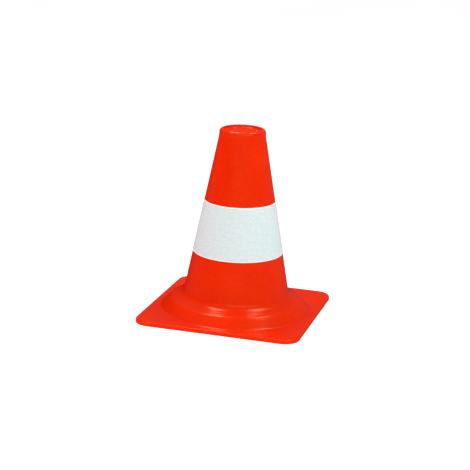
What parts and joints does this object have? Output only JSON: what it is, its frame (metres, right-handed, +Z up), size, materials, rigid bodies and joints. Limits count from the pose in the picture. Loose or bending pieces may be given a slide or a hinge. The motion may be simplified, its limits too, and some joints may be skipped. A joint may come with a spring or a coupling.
{
  "type": "traffic cone",
  "caption": "Low tapered safety cone with a rounded square base, a raised ring round its foot, a shallow dish in its top and a reflective sleeve.",
  "frame": {"origin": "on the ground, under the middle of the cone and of the square base", "axes": "+Z up along the cone's axis; X and Y run along the base's straight sides, with -Y to the front and the sleeve's overlap at +Y"},
  "size_m": [0.264, 0.264, 0.3],
  "materials": {
    "orange_plastic": "glossy flexible fluorescent red-orange PVC",
    "white_backing": "satin white vinyl",
    "reflective_film": "fine-grained glass-bead retroreflective film"
  },
  "bodies": {
    "root": {"cone_body": "orange_plastic", "sleeve_backing": "white_backing", "reflective_film": "reflective_film"}
  },
  "joints": []
}
